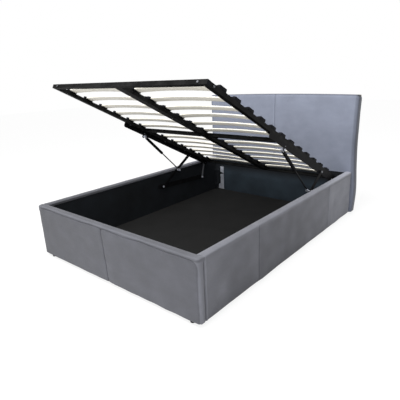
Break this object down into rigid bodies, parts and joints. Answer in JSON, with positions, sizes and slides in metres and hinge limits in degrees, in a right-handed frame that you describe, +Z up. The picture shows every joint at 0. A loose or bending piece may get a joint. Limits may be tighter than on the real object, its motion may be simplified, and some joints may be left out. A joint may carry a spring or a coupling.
{
  "type": "ottoman storage bed",
  "caption": "upholstered double bed with a low storage box, flat headboard and a slatted steel frame that lifts on paired arms and gas struts to reach the floor of the box",
  "frame": {"origin": "on the floor, under the centre of the bed's length and width", "axes": "+X to the right seen from the foot of the bed, +Y from the footboard to the headboard, +Z up"},
  "size_m": [1.5, 2.075, 1.1827],
  "materials": {
    "upholstery": "woven grey linen-look fabric, matt",
    "lining": "black non-woven lining cloth",
    "floor_felt": "dark grey felt",
    "back_cloth": "black dust cloth",
    "board": "raw particle board",
    "beech": "laminated beech, pale",
    "frame_steel": "dark grey powder coat",
    "lift_steel": "satin black paint",
    "zinc": "bright zinc plate",
    "rod_steel": "polished piston rod",
    "black_plastic": "black moulded plastic"
  },
  "bodies": {
    "base": {"right_rail_board": "board", "left_rail_board": "board", "right_rail_cover": "upholstery", "left_rail_cover": "upholstery", "right_rail_lining": "lining", "left_rail_lining": "lining", "footboard_board": "board", "footboard_cover": "upholstery", "footboard_lining": "lining", "headboard_board": "board", "headboard_cover": "upholstery", "headboard_back_sheet": "back_cloth", "head_end_panel": "lining", "floor_boards": "board", "floor_cloth": "floor_felt", "floor_ledges": "lift_steel", "floor_bearer": "board", "bearer_glides": "black_plastic", "feet": "black_plastic", "corner_brackets": "zinc", "corner_bolts": "lift_steel", "right_base_plate": "lift_steel", "left_base_plate": "lift_steel", "base_plate_screws": "lift_steel", "base_pivot_pins": "zinc", "base_pivot_spacers": "lift_steel"},
    "slat_frame": {"foot_tube": "frame_steel", "head_tube": "frame_steel", "centre_tube": "frame_steel", "right_side_tube": "frame_steel", "left_side_tube": "frame_steel", "cross_tubes": "frame_steel", "tube_end_caps": "black_plastic", "right_lift_angle": "lift_steel", "left_lift_angle": "lift_steel", "frame_bolts": "zinc", "frame_pivot_bolts": "zinc", "frame_pivot_nuts": "lift_steel", "frame_pivot_spacers": "lift_steel", "frame_strut_studs": "zinc", "right_slats": "beech", "left_slats": "beech", "outer_slat_holders": "black_plastic", "inner_slat_holders": "black_plastic"},
    "right_front_arm": {"right_front_arm": "lift_steel", "right_front_arm_stud": "zinc"},
    "right_rear_arm": {"right_rear_arm": "zinc", "right_rear_arm_pin": "zinc"},
    "right_strut_tube": {"right_strut_cylinder": "lift_steel", "right_strut_upper_eye": "zinc"},
    "right_strut_piston": {"right_strut_rod": "rod_steel", "right_strut_lower_eye": "zinc"},
    "left_front_arm": {"left_front_arm": "lift_steel", "left_front_arm_stud": "zinc"},
    "left_rear_arm": {"left_rear_arm": "zinc", "left_rear_arm_pin": "zinc"},
    "left_strut_tube": {"left_strut_cylinder": "lift_steel", "left_strut_upper_eye": "zinc"},
    "left_strut_piston": {"left_strut_rod": "rod_steel", "left_strut_lower_eye": "zinc"}
  },
  "joints": [
    {"name": "lift", "type": "hinge", "parent": "base", "child": "left_front_arm", "pos_m": [-0.6695, 0.1255, 0.245], "axis": [-1, 0, 0], "range_deg": [0, 26.23], "stiffness_Nm_per_rad": 190, "springref_deg": -91.67},
    {"name": "frame_pivot", "type": "hinge", "parent": "left_front_arm", "child": "slat_frame", "pos_m": [-0.6695, 0.49469, 0.4724], "axis": [1, 0, 0], "range_deg": [0, 52.79]},
    {"name": "right_front_arm_pivot", "type": "hinge", "parent": "base", "child": "right_front_arm", "pos_m": [0.6695, 0.1255, 0.245], "axis": [-1, 0, 0], "range_deg": [0, 26.24]},
    {"name": "right_rear_arm_pivot", "type": "hinge", "parent": "base", "child": "right_rear_arm", "pos_m": [0.6695, 0.684, 0.215], "axis": [-1, 0, 0], "range_deg": [0, 45.57]},
    {"name": "right_strut_pivot", "type": "hinge", "parent": "slat_frame", "child": "right_strut_tube", "pos_m": [0.641, -0.07513, 0.73252], "axis": [1, 0, 0], "range_deg": [0, 16.43]},
    {"name": "right_strut_slide", "type": "slide", "parent": "right_strut_tube", "child": "right_strut_piston", "axis": [0, -0.733, 0.6802], "range_m": [0, 0.1188]},
    {"name": "left_rear_arm_pivot", "type": "hinge", "parent": "base", "child": "left_rear_arm", "pos_m": [-0.6695, 0.684, 0.215], "axis": [-1, 0, 0], "range_deg": [0, 45.57]},
    {"name": "left_strut_pivot", "type": "hinge", "parent": "slat_frame", "child": "left_strut_tube", "pos_m": [-0.641, -0.07513, 0.73252], "axis": [1, 0, 0], "range_deg": [0, 16.43]},
    {"name": "left_strut_slide", "type": "slide", "parent": "left_strut_tube", "child": "left_strut_piston", "axis": [0, -0.733, 0.6802], "range_m": [0, 0.1188]}
  ],
  "couplings": [
    {"joint": "frame_pivot", "follows": "lift", "ratio": 2.0122},
    {"joint": "right_front_arm_pivot", "follows": "lift", "ratio": 1},
    {"joint": "right_rear_arm_pivot", "follows": "lift", "ratio": 1.737},
    {"joint": "right_strut_pivot", "follows": "lift", "ratio": 0.62605},
    {"joint": "right_strut_slide", "follows": "lift", "m_per_rad": 0.25942},
    {"joint": "left_rear_arm_pivot", "follows": "lift", "ratio": 1.737},
    {"joint": "left_strut_pivot", "follows": "lift", "ratio": 0.62605},
    {"joint": "left_strut_slide", "follows": "lift", "m_per_rad": 0.25942}
  ]
}
